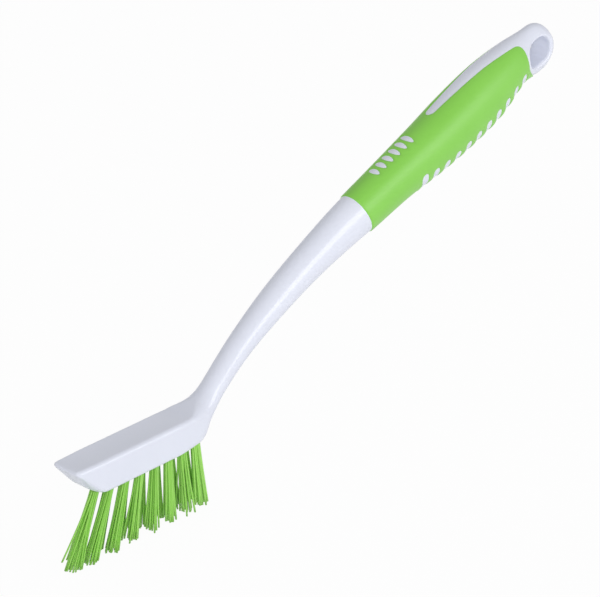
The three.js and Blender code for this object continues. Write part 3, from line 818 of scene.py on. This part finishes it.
def soft_elastomer():
    """Green thermoplastic elastomer from a fine-grained mould: satin, with a broad soft highlight. The
    grain is drawn half a millimetre wide, coarser than a real one, so that it shows."""
    material, tree, place = new_material("soft_elastomer")
    flow = add_node(tree, "ShaderNodeTexNoise", {"Vector": place, "Scale": per_metre(14), "Detail": 4})
    tone = add_node(tree, "ShaderNodeMix", {"Factor": flow.outputs["Fac"]}, data_type="RGBA")
    tone.inputs["A"].default_value = linear("#84cf49")
    tone.inputs["B"].default_value = linear("#8ed755")
    grain = add_node(tree, "ShaderNodeTexNoise", {"Vector": place, "Scale": per_metre(0.5), "Detail": 2})
    rough = add_node(tree, "ShaderNodeMapRange", {
        "Value": grain.outputs["Fac"], "To Min": 0.34, "To Max": 0.44})
    bump = add_node(tree, "ShaderNodeBump", {
        "Height": grain.outputs["Fac"], "Distance": 0.03 * MM, "Strength": 0.5})
    shader = add_node(tree, "ShaderNodeBsdfPrincipled", {
        "Base Color": tone.outputs["Result"],
        "Roughness": rough.outputs["Result"],
        "Normal": bump.outputs["Normal"],
        "IOR": 1.6,
    })
    add_node(tree, "ShaderNodeOutputMaterial", {"Surface": shader.outputs["BSDF"]})
    return material


def drawn_filament():
    """Green drawn filament: semi-gloss, each strand of its own tone mixed with painted shade, with faint
    streaks from drawing. The streaks are coarser than real ones, so that they show."""
    material, tree, place = new_material("drawn_filament")
    # The attribute holds each strand's own tone mixed with painted shade, darker towards the nose
    tone = add_node(tree, "ShaderNodeAttribute", attribute_name="strand_tone_and_shade")
    colour = add_node(tree, "ShaderNodeMix", {"Factor": tone.outputs["Fac"]}, data_type="RGBA")
    colour.inputs["A"].default_value = linear("#88cc4b")
    colour.inputs["B"].default_value = linear("#aee873")
    stretch = add_node(tree, "ShaderNodeMapping", {"Vector": place, "Scale": (1, 1, 0.08)})
    streak = add_node(tree, "ShaderNodeTexNoise", {
        "Vector": stretch.outputs["Vector"], "Scale": per_metre(0.3), "Detail": 2})
    rough = add_node(tree, "ShaderNodeMapRange", {
        "Value": streak.outputs["Fac"], "To Min": 0.3, "To Max": 0.48})
    shader = add_node(tree, "ShaderNodeBsdfPrincipled", {
        "Base Color": colour.outputs["Result"],
        "Roughness": rough.outputs["Result"],
        "IOR": 1.5,
    })
    add_node(tree, "ShaderNodeOutputMaterial", {"Surface": shader.outputs["BSDF"]})
    return material


def flat_wire():
    """Zinc-coated steel wire, rolled flat and cut: dull metal with rolling streaks, drawn coarser than real
    ones."""
    material, tree, place = new_material("flat_wire")
    stretch = add_node(tree, "ShaderNodeMapping", {"Vector": place, "Scale": (1, 0.1, 1)})
    streak = add_node(tree, "ShaderNodeTexNoise", {
        "Vector": stretch.outputs["Vector"], "Scale": per_metre(0.2), "Detail": 3})
    rough = add_node(tree, "ShaderNodeMapRange", {
        "Value": streak.outputs["Fac"], "To Min": 0.3, "To Max": 0.5})
    shader = add_node(tree, "ShaderNodeBsdfPrincipled", {
        "Base Color": linear("#b8bbc0"),
        "Roughness": rough.outputs["Result"],
        "Metallic": 1,
    })
    add_node(tree, "ShaderNodeOutputMaterial", {"Surface": shader.outputs["BSDF"]})
    return material


# Pieces

def dress():
    """Makes every piece of the brush."""
    body_points, body_faces = white_body()
    add_piece("handle_body", body_points, body_faces, moulded_polypropylene(), ["handle"])
    skin_points, skin_faces = grip_skin()
    add_piece("grip_skin", skin_points, skin_faces, soft_elastomer(), ["grip_sleeve"])
    filament = drawn_filament()
    for name, row in (("near", near_row), ("far", far_row)):
        front = math.ceil(len(row) / 2)
        for part, group in (("front", row[:front]), ("rear", row[front:])):
            points, faces, tone = tufts(group)
            node = f"bristles_{name}_{part}"
            piece = add_piece(f"tufts_{name}_{part}", points, faces, filament, [node])
            # The strand tones carry painted shade that darkens the tufts towards the nose
            attribute = piece.data.attributes.new("strand_tone_and_shade", "FLOAT", "POINT")
            attribute.data.foreach_set("value", tone.astype(np.float32))
    wire = flat_wire()
    for name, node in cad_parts.items():
        if name.startswith("tuft_anchor"):
            node.data.materials.clear()
            node.data.materials.append(wire)


# Stage: lengths in metres, the camera's aim, lens and sensor in millimetres

FLOOR_SIZE = 8.0
FLOOR_GLOW = 0.96
AMBIENT = 0.49
CAMERA_AZIMUTH = math.radians(-45)
CAMERA_ELEVATION = math.radians(25)
CAMERA_ROLL = math.radians(1.8)
CAMERA_AIM_PAST_NOSE = 112.025
CAMERA_AIM_Z = 59.65
CAMERA_TARGET = Vector((NOSE_X + CAMERA_AIM_PAST_NOSE, 0, CAMERA_AIM_Z)) * MM
CAMERA_DISTANCE = 1.05
CAMERA_NEAR = 0.05
CAMERA_FAR = 50
CAMERA_LENS = 180
CAMERA_SENSOR = 36

# Name, direction from the brush, distance, width, height, level, and whether glossy surfaces mirror it
SOFTBOXES = [
    ("key", (0.3, -0.93, 0.22), 2, 1.3, 0.85, 0.25, True),
    ("fill", (-0.62, -0.68, 0.38), 2.8, 1.6, 1.2, 0.33, False),
    ("back", (0.5, 0.86, 0.02), 2.8, 1.6, 1.2, 0.32, False),
]


def floor_paint():
    """White paint that glows white to the camera and in reflections, is clear from below, and keeps a small
    share of its look for the brush's shadow."""
    material = bpy.data.materials.new("white_floor")
    tree = empty_tree(material)
    paint = add_node(tree, "ShaderNodeBsdfDiffuse", {"Color": linear("#f2f2f4")})
    glow = add_node(tree, "ShaderNodeEmission", {"Color": (1, 1, 1, 1), "Strength": 1})
    ray = add_node(tree, "ShaderNodeLightPath")
    seen = add_node(tree, "ShaderNodeMath", {
        0: ray.outputs["Is Camera Ray"], 1: ray.outputs["Is Glossy Ray"]}, operation="MAXIMUM")
    seen = add_node(tree, "ShaderNodeMath", {
        0: seen.outputs["Value"], 1: ray.outputs["Is Transmission Ray"]}, operation="MAXIMUM")
    share = add_node(tree, "ShaderNodeMath", {
        0: seen.outputs["Value"], 1: FLOOR_GLOW}, operation="MULTIPLY")
    lit = add_node(tree, "ShaderNodeMixShader", {
        "Fac": share.outputs["Value"], 1: paint.outputs["BSDF"], 2: glow.outputs["Emission"]})
    clear = add_node(tree, "ShaderNodeBsdfTransparent")
    side = add_node(tree, "ShaderNodeNewGeometry")
    both = add_node(tree, "ShaderNodeMixShader", {
        "Fac": side.outputs["Backfacing"], 1: lit.outputs["Shader"], 2: clear.outputs["BSDF"]})
    add_node(tree, "ShaderNodeOutputMaterial", {"Surface": both.outputs["Shader"]})
    return material


def white_floor():
    """Wide level square under the bristle tips."""
    half = FLOOR_SIZE / 2
    corners = [(-half, -half, 0), (half, -half, 0), (half, half, 0), (-half, half, 0)]
    mesh = bpy.data.meshes.new("floor")
    mesh.from_pydata(corners, [], [(0, 1, 2, 3)])
    mesh.materials.append(floor_paint())
    floor = add_object("floor", mesh)


def white_world():
    """Even white light from all round, and a white view past the floor's edge."""
    world = bpy.data.worlds.new("studio")
    tree = empty_tree(world)
    ray = add_node(tree, "ShaderNodeLightPath")
    light = add_node(tree, "ShaderNodeBackground", {"Color": (1, 1, 1, 1), "Strength": AMBIENT})
    view = add_node(tree, "ShaderNodeBackground", {"Color": (1, 1, 1, 1), "Strength": 1})
    both = add_node(tree, "ShaderNodeMixShader", {
        "Fac": ray.outputs["Is Camera Ray"], 1: light.outputs["Background"], 2: view.outputs["Background"]})
    add_node(tree, "ShaderNodeOutputWorld", {"Surface": both.outputs["Shader"]})
    bpy.context.scene.world = world


def softbox(name, direction, distance, width, height, level, mirrored):
    """Area light aimed at the brush; level is the share of full white that it adds to a facing surface."""
    data = bpy.data.lights.new(name, "AREA")
    data.shape = "RECTANGLE"
    data.size = width
    data.size_y = height
    data.energy = level * math.pi * math.pi * distance ** 2
    light = add_object(name, data)
    light.visible_glossy = mirrored
    away = Vector(direction).normalized()
    light.location = CAMERA_TARGET + away * distance
    light.rotation_euler = away.to_track_quat("Z", "Y").to_euler()


def aim_camera():
    """Camera on the photographed view: turned round Z, raised, and rolled a little."""
    a, e, r = CAMERA_AZIMUTH, CAMERA_ELEVATION, CAMERA_ROLL
    right = Vector((math.cos(a), math.sin(a), 0))
    back = Vector((math.sin(a) * math.cos(e), -math.cos(a) * math.cos(e), math.sin(e)))
    up = back.cross(right)
    across = right * math.cos(r) - up * math.sin(r)
    upright = right * math.sin(r) + up * math.cos(r)
    data = bpy.data.cameras.new("camera")
    data.lens = CAMERA_LENS
    data.sensor_width = CAMERA_SENSOR
    data.clip_start = CAMERA_NEAR
    data.clip_end = CAMERA_FAR
    camera = add_object("camera", data)
    turn = Matrix((across, upright, back)).transposed().to_4x4()
    camera.matrix_world = Matrix.Translation(CAMERA_TARGET + back * CAMERA_DISTANCE) @ turn
    bpy.context.scene.camera = camera


aim_camera()
dress()
white_floor()
white_world()
for box in SOFTBOXES:
    softbox(*box)
bpy.context.scene.view_settings.view_transform = "Standard"
